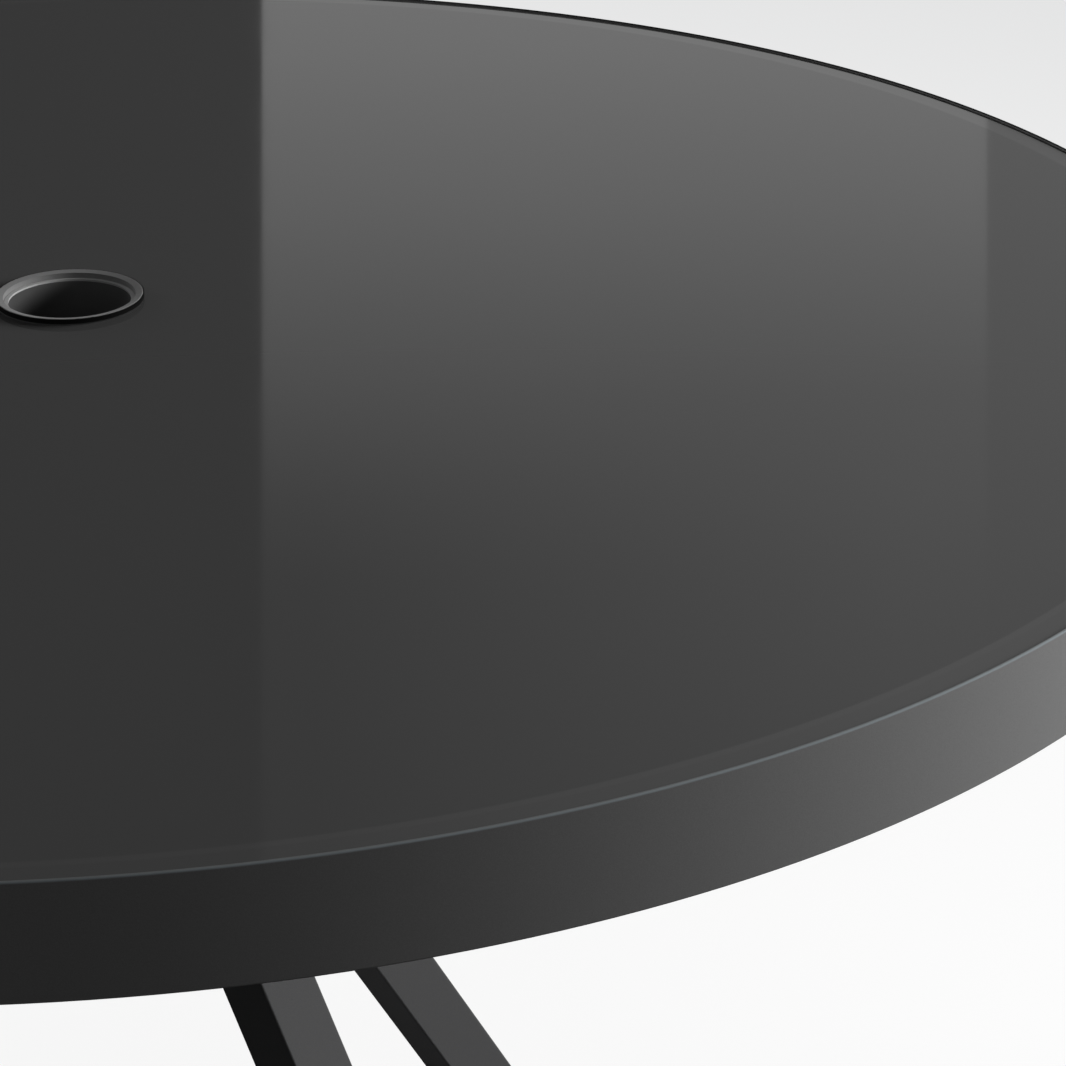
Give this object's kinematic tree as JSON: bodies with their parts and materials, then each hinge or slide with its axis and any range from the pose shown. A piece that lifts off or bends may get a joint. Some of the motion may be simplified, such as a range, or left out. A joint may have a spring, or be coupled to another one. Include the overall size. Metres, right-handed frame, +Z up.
{
  "type": "round glass patio dining table",
  "caption": "Round patio dining table: dark glass top inset in a metal rim, umbrella ring at the centre, splayed square legs on a short column, screw-adjustable feet.",
  "frame": {"origin": "on the floor, under the middle of the round top", "axes": "+Z up along the umbrella pole, -Y to the front, legs on the diagonals"},
  "size_m": [1.2199, 1.2199, 0.7519],
  "materials": {
    "glass": "gloss, back-painted",
    "rim_coat": "matte",
    "powder_coat": "satin",
    "ring_plastic": "satin",
    "trim_metal": "satin",
    "nylon": "moulded",
    "silicone": "translucent",
    "gasket": "matte",
    "zinc_steel": "zinc plated",
    "brass": "turned"
  },
  "bodies": {
    "table": {"rim": "rim_coat", "glass_top": "glass", "ledge_pads": "silicone", "arm_pads": "silicone", "frame_collar": "powder_coat", "base_plate": "powder_coat", "column": "powder_coat", "pole_guide": "nylon", "threaded_inserts": "brass", "base_bolts": "zinc_steel", "base_washers": "zinc_steel", "weld_nuts": "zinc_steel", "rim_screws": "zinc_steel", "rim_nuts": "zinc_steel", "support_arm_front_right": "powder_coat", "leg_front_right": "powder_coat", "leg_plug_front_right": "nylon", "support_arm_back_right": "powder_coat", "leg_back_right": "powder_coat", "leg_plug_back_right": "nylon", "support_arm_back_left": "powder_coat", "leg_back_left": "powder_coat", "leg_plug_back_left": "nylon", "support_arm_front_left": "powder_coat", "leg_front_left": "powder_coat", "leg_plug_front_left": "nylon"},
    "umbrella_ring": {"umbrella_ring": "ring_plastic", "ring_trim": "trim_metal", "ring_gasket": "gasket"},
    "foot_front_right": {"leveller_pad_front_right": "nylon"},
    "stem_front_right": {"leveller_stem_front_right": "zinc_steel"},
    "foot_back_right": {"leveller_pad_back_right": "nylon"},
    "stem_back_right": {"leveller_stem_back_right": "zinc_steel"},
    "foot_back_left": {"leveller_pad_back_left": "nylon"},
    "stem_back_left": {"leveller_stem_back_left": "zinc_steel"},
    "foot_front_left": {"leveller_pad_front_left": "nylon"},
    "stem_front_left": {"leveller_stem_front_left": "zinc_steel"}
  },
  "joints": [
    {"name": "umbrella_ring_lift", "type": "slide", "parent": "table", "child": "umbrella_ring", "axis": [0, 0, 1], "range_m": [0, 0.06]},
    {"name": "foot_front_right_extend", "type": "slide", "parent": "table", "child": "foot_front_right", "axis": [0, 0, -1], "range_m": [0, 0.01]},
    {"name": "stem_front_right_turn", "type": "hinge", "parent": "foot_front_right", "child": "stem_front_right", "pos_m": [0.25594, -0.25594, 0.02], "axis": [0, 0, -1], "range_deg": [0, 2881]},
    {"name": "foot_back_right_extend", "type": "slide", "parent": "table", "child": "foot_back_right", "axis": [0, 0, -1], "range_m": [0, 0.01]},
    {"name": "stem_back_right_turn", "type": "hinge", "parent": "foot_back_right", "child": "stem_back_right", "pos_m": [0.25594, 0.25594, 0.02], "axis": [0, 0, -1], "range_deg": [0, 2881]},
    {"name": "foot_back_left_extend", "type": "slide", "parent": "table", "child": "foot_back_left", "axis": [0, 0, -1], "range_m": [0, 0.01]},
    {"name": "stem_back_left_turn", "type": "hinge", "parent": "foot_back_left", "child": "stem_back_left", "pos_m": [-0.25594, 0.25594, 0.02], "axis": [0, 0, -1], "range_deg": [0, 2881]},
    {"name": "foot_front_left_extend", "type": "slide", "parent": "table", "child": "foot_front_left", "axis": [0, 0, -1], "range_m": [0, 0.01]},
    {"name": "stem_front_left_turn", "type": "hinge", "parent": "foot_front_left", "child": "stem_front_left", "pos_m": [-0.25594, -0.25594, 0.02], "axis": [0, 0, -1], "range_deg": [0, 2881]}
  ],
  "couplings": [
    {"joint": "stem_front_right_turn", "follows": "foot_front_right_extend", "rad_per_m": 5026.5},
    {"joint": "stem_back_right_turn", "follows": "foot_back_right_extend", "rad_per_m": 5026.5},
    {"joint": "stem_back_left_turn", "follows": "foot_back_left_extend", "rad_per_m": 5026.5},
    {"joint": "stem_front_left_turn", "follows": "foot_front_left_extend", "rad_per_m": 5026.5}
  ]
}
